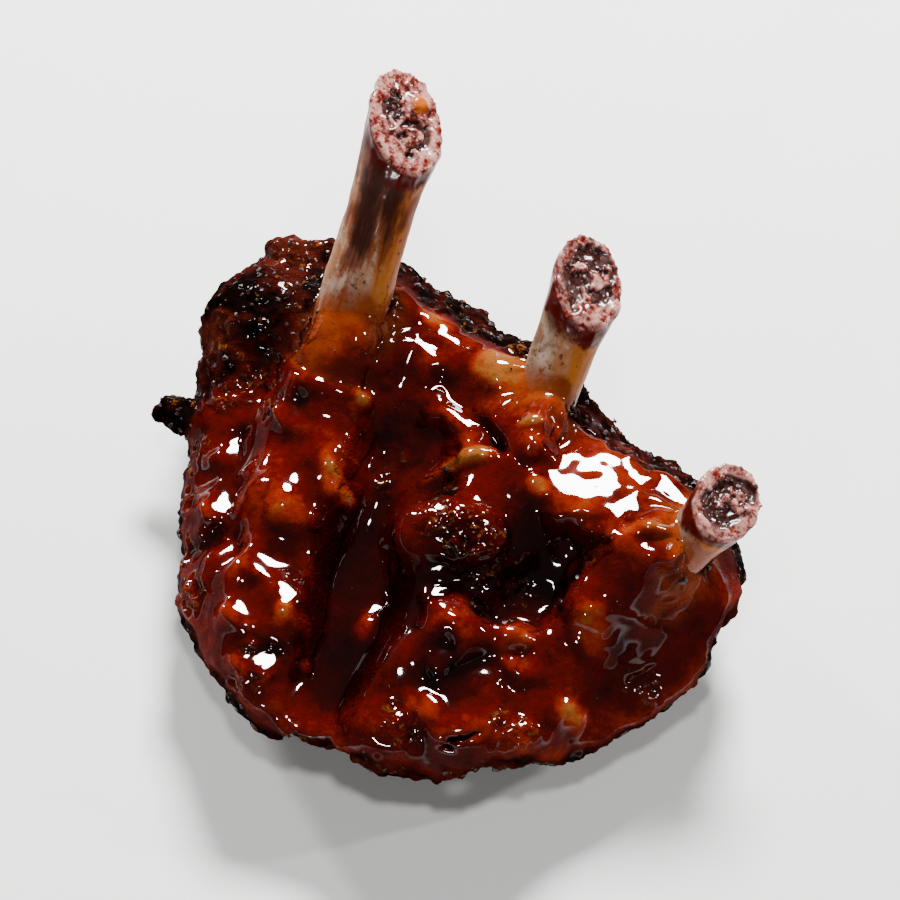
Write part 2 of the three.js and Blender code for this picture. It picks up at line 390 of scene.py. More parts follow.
def grain(points, size, seed=0):
    """Smooth noise from about -1 to 1, with grains of a size in millimetres."""
    shift = Vector([seed * far for far in GRAIN_SHIFT])
    return np.array([noise.noise(Vector(p) / size + shift) for p in points])


def crags(points, size, seed=0):
    """Sharp ridges and hollows from about -1 to 1."""
    shift = Vector([seed * far for far in CRAG_SHIFT])
    return np.array([noise.ridged_multi_fractal(Vector(p) / size + shift, *CRAG_SHAPE) for p in points]) - 1.0


# Layers of relief: the kind of noise, the size of its grain, its seed and its height
SAUCE_WAVES = ((grain, 10, 3, 0.9), (crags, 9, 4, 0.5), (grain, 2.4, 26, 0.16))
SHINE_DIMPLES = ((grain, 5, 43, 0.38), (grain, 2.4, 45, 0.14))
RUGGED_MEAT = ((crags, 3.4, 9, 0.8), (grain, 1.7, 10, 0.55))
LUMP_GRAIN = ((grain, 2.2, 47, 0.3), (grain, 1.1, 49, 0.15))
CRUST_CRAGS = ((crags, 9, 6, 0.7), (crags, 4.2, 7, 0.34))
FLANK_CRAGS = ((crags, 5.5, 50, 0.7), (grain, 3, 51, 0.3))
KNOB_CRUST = ((crags, 3.4, 44, 0.9), (grain, 1.8, 46, 0.4))
RAGGED_CRUST_EDGE = ((grain, 7, 1, 0.3), (grain, 2.6, 2, 0.2))


def relief(points, layers):
    """The sum of several layers of noise."""
    return sum(height * kind(points, size, seed) for kind, size, seed, height in layers)


def bone_line(points, rib):
    """For each point, how far it is along the rib from where it leaves the meat, and from its axis."""
    along, side, hollow = axes_of(rib)
    offset = points - np.array(rib["leaves"])
    t = offset @ np.array(along)
    return t, offset @ np.array(side), offset @ np.array(hollow)


def meat_body():
    """One skin over the meat, with each bone's channel filled and a sleeve up the foot of each bone."""
    whole = merged_copy("meat")
    for name, rib in RIBS.items():
        plug = merged_copy(name)
        along, _, _ = axes_of(rib)
        for vertex in plug.verts:
            vertex.co += vertex.normal * PLUG_SWELL * MM
        cut_at = (Vector(rib["leaves"]) + along * PLUG_REACH) * MM
        geometry = plug.verts[:] + plug.edges[:] + plug.faces[:]
        bmesh.ops.bisect_plane(plug, geom=geometry, plane_co=cut_at, plane_no=along, clear_outer=True)
        rim = [edge for edge in plug.edges if edge.is_boundary]
        bmesh.ops.holes_fill(plug, edges=rim)
        mesh = bpy.data.meshes.new("plug")
        plug.to_mesh(mesh)
        plug.free()
        whole.from_mesh(mesh)
        bpy.data.meshes.remove(mesh)
    return remeshed(whole, "sauced_meat", BODY_VOXEL)


def plan_distance(points, place):
    """How far each point is in plan from a place."""
    return np.hypot(points[:, 0] - place[0], points[:, 1] - place[1])


def oval_distance(points, x, y, half_long, half_wide, turn):
    """How far each point is in plan from the middle of a turned oval, whose edge is at 1."""
    angle = math.radians(turn)
    dx, dy = points[:, 0] - x, points[:, 1] - y
    u = (dx * math.cos(angle) + dy * math.sin(angle)) / half_long
    v = (dy * math.cos(angle) - dx * math.sin(angle)) / half_wide
    return np.hypot(u, v)


def lump_mask(points):
    """How near each point is to the middle of a pale lump, and how far that lump lifts the sauce."""
    near = np.zeros(len(points))
    lift = np.zeros(len(points))
    ragged = 0.25 * grain(points, 2.2, 21)
    for *oval, height, paleness in LUMPS:
        away = oval_distance(points, *oval)
        near = np.maximum(near, paleness * (1 - step(away + ragged, 0.35, 1.2)))
        lift = np.maximum(lift, height * (1 - step(away + 0.5 * ragged, 0.3, 1.3)))
    return near, lift


def spread(points, places):
    """The strongest of several round patches at each point."""
    found = np.zeros(len(points))
    for x, y, reach, *strength in places:
        away = plan_distance(points, (x, y))
        found = np.maximum(found, (strength[0] if strength else 1.0) * bell(away, reach))
    return found


def square_to_light(points, normals):
    """Turns each shining patch square to the light at its own height, and says where the patches are."""
    shine = np.zeros(len(points))
    facing = step(normals[:, 2], 0.2, 0.5)
    ragged = 0.7 * grain(points, 3.2, 41)
    dimples = relief(points, SHINE_DIMPLES)
    for *oval, crown in SHINES:
        x, y, half_long = oval[:3]
        dx, dy = points[:, 0] - x, points[:, 1] - y
        away = oval_distance(points, *oval)
        height = points[(away < PATCH_CORE) & (facing > 0.5), 2].mean()
        level = height + SHINE_SLOPE[0] * dx + SHINE_SLOPE[1] * dy - crown * (dx**2 + dy**2) + dimples
        share = (1 - step(away + ragged * min(1, RAGGED_FROM / half_long), 0.45, 1.45)) * facing
        points[:, 2] += np.clip(level - points[:, 2], -PATCH_MOST, PATCH_MOST) * share
        shine = np.maximum(shine, share)
    return shine


def distance_to(points, start, end):
    """How far each point is in plan from a line between two places."""
    run = np.subtract(end, start)
    t = np.clip((points[:, :2] - start) @ run / (run @ run), 0, 1)
    return np.linalg.norm(points[:, :2] - start - t[:, None] * run, axis=1)


def folded(points, reach, seed):
    """Points pushed about by slow noise, which turns round grains into flowing ones."""
    return points + reach * np.stack([grain(points, 7, seed + k) for k in range(3)], axis=1)


def towards_shown(normals):
    """How far each point is turned in plan to the side that the photograph shows."""
    return SHOWN_SIDE[0] * normals[:, 0] + SHOWN_SIDE[1] * normals[:, 1]


def turned_away(normals):
    """The far flank, which the photograph doesn't show."""
    x, y, z = TO_VIEWPOINT
    return 1 - step(z * normals[:, 2] + x * normals[:, 0] + y * normals[:, 1], -0.25, 0.1)


def crust_mask(points, normals):
    """Where the meat is bare and charred: its underside, its far and left flanks and the named places."""
    ragged = relief(points, RAGGED_CRUST_EDGE)
    covered = spread(points, SAUCED_SLOPES)
    bare = 1 - step(normals[:, 2] + 0.4 * towards_shown(normals) + 0.75 * covered + ragged, 0.35, 0.7)
    named = spread(points, BARE_CRUST)
    return np.maximum(bare, step(named + 0.5 * ragged, 0.3, 0.55))


def creep(points, across):
    """How much further the sauce creeps up a bone here than it does on the whole."""
    return 3.6 * grain(points, 4.4, 31) + 0.25 * across


def pour_round_bone(points, name):
    """Draws the sauce up the foot of a bone as a film that thins out, and says how near the film is."""
    rib = RIBS[name]
    bone = merged_copy(name)
    tree = BVHTree.FromBMesh(bone)
    bone.free()
    t, across, out = bone_line(points, rib)
    near = np.flatnonzero((t > -4) & (t < PLUG_REACH + 3) & (np.hypot(across, out) < rib["width"] / 2 + 5))
    film = FILM_THICKNESS * (1 - step(t[near] - creep(points[near], across[near]), -2, 8)) - FILM_SINK
    thin = np.zeros(len(points))
    for i, thickness in zip(near, film):
        spot, normal, _, _ = tree.find_nearest(Vector(points[i]) * MM)
        height = (Vector(points[i]) * MM - spot).dot(normal) / MM
        if height < -FILM_GRIP:
            continue
        share = 1 - step(height, FILM_GRIP, FILM_LOOSE)
        points[i] += np.array(normal) * (thickness - height) * share
        thin[i] = share * (1 - 0.6 * max(thickness, 0) / FILM_GRIP)
    return thin


def shaped_meat():
    """The meat with its sauce evened out, its hollows filled and its shining patches turned to the light."""
    piece = meat_body()
    mesh = piece.data
    edges = edges_of(mesh)
    points = relaxed(points_of(mesh), edges, 8)
    put_points(mesh, points)
    crust = relaxed(crust_mask(points, normals_of(mesh)), edges, 2)
    melted = np.minimum(1, 1.3 * spread(points, MELTED))
    points += (relaxed(points, edges, 26) - points) * (1 - 0.8 * crust)[:, None]
    points += (relaxed(points, edges, 90, 0.9) - points) * melted[:, None]
    points[:, 2] += spread(points, SLOPE_BULGES) * step(points[:, 2], 8, 16)
    for start, end, reach, level in PUDDLES:
        away = distance_to(points, start, end)
        filled = level + 0.8 * np.logaddexp(0, (points[:, 2] - level) / 0.8)
        points[:, 2] += (filled - points[:, 2]) * (1 - step(away, 0.6 * reach, reach)) * step(points[:, 2], 7, 11)
    put_points(mesh, points)
    square_to_light(points, normals_of(mesh))
    put_points(mesh, points)
    bm = bmesh.new()
    bm.from_mesh(mesh)
    delete(piece)
    return remeshed(bm, "sauced_meat", BODY_VOXEL)


def sauce_relief(points, calm, lift, rugged, lump, sizes):
    """Height of the sauce: its slow waves, the lumps under it and the crags that stand through it."""
    flow = folded(points, 4.5, 40)
    height = sizes.sauce_wave / MM * (1 - 0.8 * calm) * relief(flow, SAUCE_WAVES)
    height += lift + sizes.sauce_coat / MM
    height += rugged * relief(points, RUGGED_MEAT)
    return height + lump * relief(points, LUMP_GRAIN)


def crust_relief(points, burnt, away, sizes):
    """Height of the bare crust, which is sharpest where it is burnt or out of the photograph's sight."""
    height = sizes.crust_crag / MM * relief(points, CRUST_CRAGS)
    height += (0.5 + 0.2 * burnt) * grain(points, 1.7, 19) + (0.35 + 0.35 * burnt) * crags(points, 2.6, 33)
    return height + away * relief(points, FLANK_CRAGS)


def dress_meat(sizes):
    """The meat with the relief of its sauce and crust, and the masks that its material reads."""
    piece = shaped_meat()
    mesh = piece.data
    edges = edges_of(mesh)
    points = relaxed(points_of(mesh), edges, 5)
    put_points(mesh, points)
    shine = square_to_light(points, normals_of(mesh))
    normals = normals_of(mesh)
    crust = relaxed(crust_mask(points, normals), edges, 2)
    top = step(normals[:, 2], -0.1, 0.4)
    away = turned_away(normals)
    burnt = spread(points, BURNT)
    lump, lift = lump_mask(points)
    lump *= top
    lift = lift * (1 - shine) * top
    calm = np.maximum(spread(points, CALM), 0.9 * shine)
    rugged = spread(points, RUGGED) * top * (1 - 0.8 * calm)
    rugged = step(rugged + 0.25 * grain(points, 3, 22), 0.3, 0.75)
    knob = bell(plan_distance(points, KNOB["middle"]), KNOB["reach"]) * top
    rugged = np.maximum(rugged, step(knob, 0.3, 0.7))
    sauce = sauce_relief(points, calm, lift, rugged, lump, sizes)
    rough = crust_relief(points, burnt, away, sizes)
    height = sauce * (1 - crust) + rough * crust + knob * relief(points, KNOB_CRUST)
    points = points + normals * height[:, None]
    film = np.zeros(len(points))
    for name in RIBS:
        film = np.maximum(film, pour_round_bone(points, name))
    calmness = (1 - crust) * (1 - rugged)
    points += (relaxed(points, edges, 3) - points) * calmness[:, None]
    points[:, 2] = np.maximum(points[:, 2], 0)
    put_points(mesh, points)

    # The sauce is drawn dark where it is thick over the knob and in hollows and pools, where the dark is partly painted
    # shade, and light where it is thin on bones and lumps. On the broad shining patch it is drawn lighter as a painted
    # sheen
    hollow = np.einsum("ij,ij->i", relaxed(points, edges, 60, 1.0) - points, normals)
    pool_and_shade = spread(points, POOLS_AND_SHADE)
    thick = 0.52 + 0.14 * hollow + 0.4 * pool_and_shade + 0.16 * grain(points, 9, 8) - 0.3 * film - 0.42 * lump
    thick += 0.25 * knob
    # A painted sheen: the sauce is drawn lighter on the broad shining patch
    thick -= 0.2 * bell(plan_distance(points, SHINES[0]), 10)
    # The crust's tone: redder at the ruddy edges, which on the flap's far rim is partly a painted rim light; darker
    # where burnt; and darker on the far flank, turned from the viewpoint, as painted shade
    toasted_and_painted_light = 0.4 + 0.6 * spread(points, RUDDY_AND_RIM_LIT) - 0.4 * burnt - 0.2 * away + 0.45 * grain(points, 8, 48)
    # A full glaze lies where the surface is level or turned a little to the shown side. Steeper slopes have
    # less of it than real ones, so that they don't mirror the pale floor
    now = normals_of(mesh)
    flat = now[:, 2] + 0.3 * towards_shown(now) + 0.08 * grain(points, 3, 27)
    glaze = step(flat, 0.68, 0.82) * (1 - 0.5 * knob) * (1 - 0.9 * step(burnt, 0.15, 0.5))
    rugged *= 1 - crust
    masks = {
        "toasted_and_painted_light": toasted_and_painted_light,
        "glaze": np.maximum(glaze, 0.8 * away),
        "crust": crust,
        "rugged": rugged,
        "still": np.maximum(calm, np.minimum(pool_and_shade, 1)) * (1 - rugged),
        "film": film,
        "thick": thick,
    }
    put_masks(mesh, masks)
    return piece


def dress_bone(name, sizes):
    """A bone with its long grain and pitted sawn end, and the masks that its material reads."""
    rib = RIBS[name]
    bm = merged_copy(name)
    # The sawn end is a fan of triangles round one vertex, which has the most edges
    cap = max(bm.verts, key=lambda v: (len(v.link_edges), v.co.z))
    saw_point, saw_normal = np.array(cap.co) / MM, np.array(cap.normal)
    piece = remeshed(bm, name + "_roasted", BONE_VOXEL)
    mesh = piece.data
    edges = edges_of(mesh)
    points = relaxed(points_of(mesh), edges, 4)
    # The shaft is smoothed well, and the cut keeps its sharp rim
    below_cut = step((saw_point - points) @ saw_normal, 1.5, 5)
    points += (relaxed(points, edges, 45, 0.6) - points) * below_cut[:, None]
    put_points(mesh, points)
    normals = normals_of(mesh)
    t, across, out = bone_line(points, rib)
    along_bone = np.stack([across, out, t], axis=1)
    stretched = along_bone * np.array([1, 1, 0.16])
    half = rib["width"] / 2
    along = np.array(axes_of(rib)[0])
    offset = points - saw_point
    depth = offset @ saw_normal
    from_middle = np.linalg.norm(offset - (offset @ along)[:, None] * along, axis=1)
    sawn = step(depth, -1.0, -0.45)
    inner = sawn * (1 - step(from_middle / half + 0.15 * grain(points, 3, 23), 0.62, 0.86))

    # Long grain on the shaft, pits and a burr on the cut, and the bead of fat
    shaft = sizes.bone_grain / MM * (0.5 * grain(stretched, 1.2, 11) + 1.5 * grain(along_bone, 4, 12))
    pit = step(grain(points, 3.4, 13) + 0.6 * grain(points, 1.3, 25) + rib["dark_end"], 0.05, 0.4)
    pit *= np.minimum(0.1 + rib["dark_end"] + 0.8 * inner, 1)
    pits = -sizes.marrow_pit / MM * pit + 0.45 * grain(points, 1.3, 14)
    burr = 0.3 * grain(points, 1.8, 15) + 0.15 * bell(depth + 0.9, 0.7)
    bead = sawn * bell(np.linalg.norm(points - FAT_BEAD["middle"], axis=1), FAT_BEAD["reach"])
    height = shaft * (1 - sawn) + sawn * pits * (0.45 + 0.55 * inner) * (1 - bead) + burr * bell(depth + 0.7, 1.2)
    height += 0.8 * step(bead, 0.1, 0.8)
    points = points + normals * height[:, None]
    put_points(mesh, points)

    # The burnt streak widens up the shaft and has tongues at its lower end
    reach = (saw_point - np.array(rib["leaves"])) @ along
    climb = step(t / reach, rib["burnt_from"], 1)
    off_middle = np.abs(across / half - 0.05) + 0.35 * grain(along_bone, 5, 17) + 0.15 * grain(along_bone, 1.8, 34)
    stain = 1 - step((off_middle - 0.5 * climb) / 0.9, 0, 1)
    stain *= step(t / reach + 0.3 * grain(stretched, 2.2, 18), rib["burnt_from"], rib["burnt_from"] + 0.45)
    masks = {
        "sawn": sawn,
        "bead": bead,
        "inner": inner,
        "pit": sawn * pit,
        "wet": 1 - step(t - creep(points, across), 4.0, 15.0),
        "burnt_rim": bell(np.maximum(-depth - 1.2 + 1.4 * grain(points, 3.6, 24), 0), 2.6),
        "stain": stain * (1 - sawn),
        # Tan on the side towards the next rib: browning, and partly a painted rim light
        "browned": 0.5 + rib["browned"] + 0.5 * across / half + 0.12 * grain(along_bone, 4, 35),
    }
    put_masks(mesh, masks)
    layer = mesh.attributes.new("along_bone", "FLOAT_VECTOR", "POINT")
    layer.data.foreach_set("vector", (along_bone * MM).astype(np.float32).ravel())
    return piece


def add_node(tree, kind, inputs=None, out=0, stops=None, **settings):
    """Adds a node with its settings, values or links and colour stops, and gives one of its outputs. The kind
    is Blender's own name without the ShaderNode that all of them start with."""
    node = tree.nodes.new("ShaderNode" + kind)
    for name, value in settings.items():
        setattr(node, name, value)
    for name, value in (inputs or {}).items():
        if isinstance(value, bpy.types.NodeSocket):
            tree.links.new(value, node.inputs[name])
        else:
            node.inputs[name].default_value = value
    for place, tint in stops or []:
        ramp = node.color_ramp.elements
        if place == 0:
            ramp.remove(ramp[-1])
        stop = ramp[0] if place == 0 else ramp.new(place)
        stop.color = (*tint, 1)
    return node.outputs[out] if node.outputs else node


def new_material(name):
    """A material without nodes, and its tree."""
    material = bpy.data.materials.new(name)
    material.use_nodes = True
    tree = material.node_tree
    tree.nodes.clear()
    return material, tree


def per_metre(mm):
    """A texture's scale, from the size of its grain in millimetres."""
    return 1 / (mm * MM)


def layered(tree, base, layers):
    """Lays colours over a base, each as its mask goes from one value to another, up to its most."""
    for mask, low, high, most, tint in layers:
        share = add_node(
            tree,
            "MapRange",
            {VALUE: mask, FROM_LOW: low, FROM_HIGH: high, TO_HIGH: most},
            interpolation_type="LINEAR" if low > high else "SMOOTHSTEP",
        )
        mixed = {FACTOR: share, COLOUR_A: base, COLOUR_B: (*tint, 1)}
        base = add_node(tree, "Mix", mixed, MIXED_COLOUR, data_type="RGBA")
    return base


def glazed_roast_pork(colours):
    """Roast pork under a poured tomato and sugar glaze: wet, dark and clear where it is thick, orange where it is thin,
    with painted shade in its hollows and pools and a painted sheen on the broad shining patch, and broken by bare
    charred crust that only glints."""
    material, tree = new_material("glazed_roast_pork")
    place = add_node(tree, "TexCoord", out="Object")
    masks = {
        name: add_node(tree, "Attribute", out="Fac", attribute_name=name)
        for name in ("crust", "thick", "rugged", "toasted_and_painted_light", "glaze", "still", "film")
    }
    # Grain in mm: clouds of thick and thin sauce, greasy patches, slow ripples, fibres and flecks, fine grit.
    # Ground pepper is finer than the grit, which is drawn coarser so that it shows.
    noises = {
        name: add_node(
            tree,
            "TexNoise",
            {"Vector": place, "Scale": per_metre(mm), "Detail": detail, "Roughness": roughness},
        )
        for name, mm, detail, roughness in (
            ("clouds", 5, 6, 0.6),
            ("grease", 3.1, 2, 0.6),
            ("ripple", 2, 3, 0.6),
            ("flecks", 1.3, 5, 0.65),
            ("grit", 0.7, 3, 0.6),
        )
    }
    # Shares: what each one follows, from and to which value, what it is there, and how it rises
    shares = {
        name: add_node(
            tree,
            "MapRange",
            {VALUE: follows, FROM_LOW: low, FROM_HIGH: high, TO_LOW: first, TO_HIGH: last},
            interpolation_type=rise,
        )
        for name, follows, low, high, first, last, rise in (
            ("cloudy", noises["clouds"], 0.3, 0.7, -0.12, 0.12, "LINEAR"),
            ("flecked", noises["flecks"], 0.3, 0.7, -0.07, 0.07, "LINEAR"),
            ("spots", noises["flecks"], 0.55, 0.66, 0, 0.75, "SMOOTHSTEP"),
            ("smear", masks["film"], 0, 0.8, 0, 0.9, "SMOOTHSTEP"),
            ("uneven", noises["grease"], 0.35, 0.6, 0.35, 1, "LINEAR"),
            ("tone", masks["toasted_and_painted_light"], 0, 1, -0.22, 0.22, "LINEAR"),
            ("dry", noises["flecks"], 0.3, 0.7, 0.4, 0.7, "LINEAR"),
            ("wet", masks["glaze"], 0, 1, 0.05, 1, "LINEAR"),
            ("grease", noises["grease"], 0.46, 0.6, 0.05, 0.8, "SMOOTHSTEP"),
            ("toast", masks["toasted_and_painted_light"], 0, 1, 0.35, 1, "LINEAR"),
            ("steep", masks["glaze"], 0, 0.6, 0.8, 0, "LINEAR"),
            ("ripple", masks["still"], 0, 1, 0.7, 0.14, "LINEAR"),
            ("pimples", noises["grit"], 0.57, 0.7, 0, 0.3, "SMOOTHSTEP"),
        )
    }

    # The sauce's colour follows its thickness, with painted shade in hollows and pools and a painted sheen on the broad
    # shining patch
    depth = add_node(tree, "Math", {0: masks["thick"], 1: shares["cloudy"]}, operation="ADD")
    depth = add_node(tree, "Math", {0: depth, 1: shares["flecked"]}, operation="ADD")
    sauce = add_node(
        tree,
        "ValToRGB",
        {"Fac": depth},
        stops=[
            (0, colours.lump),
            (0.2, colours.sauce_thin),
            (0.42, colours.sauce_body),
            (0.68, colours.sauce_deep),
            (1, colours.pooled_sauce_and_shade),
        ],
    )
    spots = add_node(tree, "Math", {0: shares["spots"], 1: masks["rugged"]}, operation="MULTIPLY")
    smear = add_node(tree, "Math", {0: shares["smear"], 1: shares["uneven"]}, operation="MULTIPLY")
    for share, tint in ((spots, colours.crust_spot), (smear, colours.bone_root)):
        mixed = {FACTOR: share, COLOUR_A: sauce, COLOUR_B: (*tint, 1)}
        sauce = add_node(tree, "Mix", mixed, MIXED_COLOUR, data_type="RGBA")

    tone = add_node(tree, "Math", {0: noises["clouds"], 1: shares["tone"]}, operation="ADD")
    char = add_node(
        tree,
        "ValToRGB",
        {"Fac": tone},
        stops=[
            (0, colours.crust_dark),
            (0.36, colours.crust_dark),
            (0.54, colours.crust_brown),
            (0.8, colours.crust_red),
            (1, colours.crust_spot),
        ],
    )
    red_flecks = add_node(tree, "Math", {0: noises["flecks"], 1: masks["toasted_and_painted_light"]}, operation="MULTIPLY")
    fat = add_node(tree, "Math", {0: noises["grease"], 1: noises["flecks"]}, operation="MULTIPLY")
    layers = ((red_flecks, 0.27, 0.37, 0.5, colours.crust_red), (fat, 0.35, 0.4, 0.85, colours.crust_spot))
    char = layered(tree, char, layers)
    crusted = {FACTOR: masks["crust"], COLOUR_A: sauce, COLOUR_B: char}
    base = add_node(tree, "Mix", crusted, MIXED_COLOUR, data_type="RGBA")

    rough = add_node(tree, "Mix", {FACTOR: masks["crust"], NUMBER_A: 0.15, NUMBER_B: shares["dry"]})
    grease = shares["grease"]
    for dulled in (shares["wet"], shares["toast"]):
        grease = add_node(tree, "Math", {0: grease, 1: dulled}, operation="MULTIPLY")
    film = add_node(tree, "Mix", {FACTOR: masks["crust"], NUMBER_A: shares["wet"], NUMBER_B: grease})

    gritty = add_node(tree, "Math", {0: masks["crust"], 1: masks["rugged"]}, operation="MAXIMUM")
    gritty = add_node(tree, "Math", {0: gritty, 1: shares["steep"]}, operation="MAXIMUM")
    ripple = add_node(tree, "Math", {0: noises["ripple"], 1: shares["ripple"]}, operation="MULTIPLY")
    sauce_height = add_node(tree, "Math", {0: ripple, 1: shares["pimples"]}, operation="ADD")
    crust_height = add_node(tree, "Math", {0: noises["flecks"], 1: noises["grit"]}, operation="ADD")
    crust_height = add_node(tree, "Math", {0: crust_height, 1: 2.0}, operation="MULTIPLY")
    height = add_node(tree, "Mix", {FACTOR: gritty, NUMBER_A: sauce_height, NUMBER_B: crust_height})
    bump = add_node(tree, "Bump", {"Strength": 0.7, "Distance": 0.6 * MM, "Height": height})
    shader = add_node(
        tree,
        "BsdfPrincipled",
        {
            "Base Color": base,
            "Roughness": rough,
            "IOR": 1.45,
            "Specular IOR Level": 0.0,
            "Normal": bump,
            "Coat Weight": film,
            "Coat Roughness": 0.04,
            "Coat IOR": 1.6,
        },
    )
    add_node(tree, "OutputMaterial", {"Surface": shader})
    return material


def scraped_rib_bone(colours):
    """Rib bone scraped bare and roasted: dry and pale on one side, browned on the other, where the bright tan is partly
    a painted rim light, with a greasy burnt streak, sauce round its foot, and a spongy sawn end."""
    material, tree = new_material("scraped_rib_bone")
    along = add_node(tree, "Attribute", out="Vector", attribute_name="along_bone")
    masks = {
        name: add_node(tree, "Attribute", out="Fac", attribute_name=name)
        for name in ("browned", "stain", "wet", "burnt_rim", "pit", "inner", "sawn", "bead")
    }
    # Grain in mm: long grain of the bone, clouds of browning, and specks and sponge cells, which are drawn
    # coarser than the real half a millimetre so that they show
    lengthwise = add_node(tree, "Mapping", {"Vector": along, "Scale": (1, 1, 0.14)}, vector_type="POINT")
    noises = {
        name: add_node(
            tree,
            "TexNoise",
            {"Vector": vector, "Scale": per_metre(mm), "Detail": detail, "Roughness": roughness},
        )
        for name, vector, mm, detail, roughness in (
            ("streaks", lengthwise, 1.6, 6, 0.6),
            ("mottle", along, 3.2, 7, 0.7),
            ("specks", along, 1.1, 5, 0.7),
        )
    }
    edged = {}
    for name, by in (("stain", "streaks"), ("wet", "mottle"), ("burnt_rim", "mottle")):
        rises = {VALUE: noises[by], FROM_LOW: 0.3, FROM_HIGH: 0.7, TO_LOW: -0.4, TO_HIGH: 0.4}
        ragged = add_node(tree, "MapRange", rises)
        edged[name] = add_node(tree, "Math", {0: masks[name], 1: ragged}, operation="ADD")
    # The tan edge on the side towards the next rib is browning and partly a painted rim light
    tan_and_rim_lit_edge = add_node(tree, "Math", {0: masks["browned"], 1: noises["streaks"]}, operation="ADD")
    base = add_node(
        tree,
        "ValToRGB",
        {"Fac": noises["mottle"]},
        stops=[(0, colours.bone_grey), (0.42, colours.bone_grey), (0.62, colours.bone_pale)],
    )
    layers = (
        (tan_and_rim_lit_edge, 0.9, 1.4, 0.95, colours.bone_tan),
        (tan_and_rim_lit_edge, 0.75, 0.5, 0.6, colours.bone_tan),
        (noises["specks"], 0.56, 0.66, 0.8, colours.bone_stain),
        (edged["stain"], 0.05, 0.55, 0.8, colours.bone_root),
        (edged["stain"], 0.3, 1.0, 0.95, colours.bone_stain),
        (edged["wet"], 0.1, 0.7, 0.92, colours.bone_root),
        (edged["wet"], 0.7, 1.2, 0.7, colours.sauce_thin),
        (edged["burnt_rim"], 0.25, 0.75, 1, colours.sauce_body),
    )
    base = layered(tree, base, layers)
    mixed = {FACTOR: 0.4, NUMBER_A: noises["specks"], NUMBER_B: noises["mottle"]}
    cells = add_node(tree, "Mix", mixed)
    sponge = add_node(
        tree,
        "ValToRGB",
        {"Fac": cells},
        stops=[
            (0, colours.bone_stain),
            (0.42, colours.bone_stain),
            (0.49, colours.marrow),
            (0.57, colours.marrow_pale),
            (0.7, colours.bone_pale),
        ],
    )
    ring = add_node(
        tree,
        "ValToRGB",
        {"Fac": cells},
        stops=[(0, colours.sauce_body), (0.4, colours.sauce_body), (0.46, colours.marrow), (0.54, colours.marrow_pale)],
    )
    mixed = {FACTOR: masks["inner"], COLOUR_A: ring, COLOUR_B: sponge}
    end = add_node(tree, "Mix", mixed, MIXED_COLOUR, data_type="RGBA")
    layers = (
        (masks["pit"], 0.2, 0.8, 0.9, colours.marrow_dark),
        (masks["bead"], 0.2, 0.7, 1, colours.fat_bead),
    )
    mixed = {FACTOR: masks["sawn"], COLOUR_A: base, COLOUR_B: layered(tree, end, layers)}
    base = add_node(tree, "Mix", mixed, MIXED_COLOUR, data_type="RGBA")
    oily = add_node(tree, "Math", {0: masks["wet"], 1: masks["sawn"]}, operation="MAXIMUM")
    lip = add_node(tree, "Math", {0: masks["burnt_rim"], 1: 0.5}, operation="MULTIPLY")
    oily = add_node(tree, "Math", {0: oily, 1: lip}, operation="MAXIMUM")
    rough = add_node(tree, "Mix", {FACTOR: oily, NUMBER_A: 0.55, NUMBER_B: 0.16})
    grease = add_node(tree, "Mix", {FACTOR: oily, NUMBER_A: 0.03, NUMBER_B: 0.5})
    mixed = {FACTOR: masks["sawn"], NUMBER_A: noises["streaks"], NUMBER_B: noises["specks"]}
    height = add_node(tree, "Mix", mixed)
    bump = add_node(tree, "Bump", {"Strength": 0.5, "Distance": 0.3 * MM, "Height": height})
    shader = add_node(
        tree,
        "BsdfPrincipled",
        {
            "Base Color": base,
            "Roughness": rough,
            "IOR": 1.5,
            "Specular IOR Level": 0.08,
            "Normal": bump,
            "Coat Weight": grease,
            "Coat Roughness": 0.12,
        },
    )
    add_node(tree, "OutputMaterial", {"Surface": shader})
    return material


def painted_studio_floor():
    """A matt pale studio floor, rolled smooth."""
    material, tree = new_material("painted_studio_floor")
    place = add_node(tree, "TexCoord", out="Object")
    mist = add_node(tree, "TexNoise", {"Vector": place, "Scale": per_metre(90), "Detail": 3})
    tint = add_node(tree, "ValToRGB", {"Fac": mist}, stops=[(0, linear("#f0efed")), (1, linear("#f6f5f3"))])
    shader = add_node(tree, "BsdfPrincipled", {"Base Color": tint, "Roughness": 0.8})
    add_node(tree, "OutputMaterial", {"Surface": shader})
    return material


def finish(piece, material, node):
    """Gives a piece its material and its body, and hides the solid that it stands for."""
    piece.data.materials.clear()
    piece.data.materials.append(material)
    piece.data.shade_smooth()
    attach(piece, "root")
    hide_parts(node)


class RIBS_OT_meat(bpy.types.Operator):
    """Makes the sauced meat with its lumps, pools and charred crust."""

    bl_idname = "ribs.meat"
    bl_label = "Sauced Meat"

    def execute(self, context):
        piece = dress_meat(context.scene.ribs_sizes)
        finish(piece, glazed_roast_pork(context.scene.ribs_colours), "meat")
        return {"FINISHED"}


class RIBS_OT_bones(bpy.types.Operator):
    """Makes the scraped rib bones with their spongy sawn ends."""

    bl_idname = "ribs.bones"
    bl_label = "Rib Bones"

    def execute(self, context):
        material = scraped_rib_bone(context.scene.ribs_colours)
        for name in RIBS:
            finish(dress_bone(name, context.scene.ribs_sizes), material, name)
        return {"FINISHED"}


# Loose bits: how many, size in mm from and to, how flat, and the mask that they lie on
BITS = {
    "char_flakes": (420, 0.5, 1.5, 0.45, "crust"),
    "spice_bits": (110, 0.3, 0.9, 0.6, "rugged"),
    "pepper_grains": (170, 0.2, 0.5, 0.8, "sauce"),
}


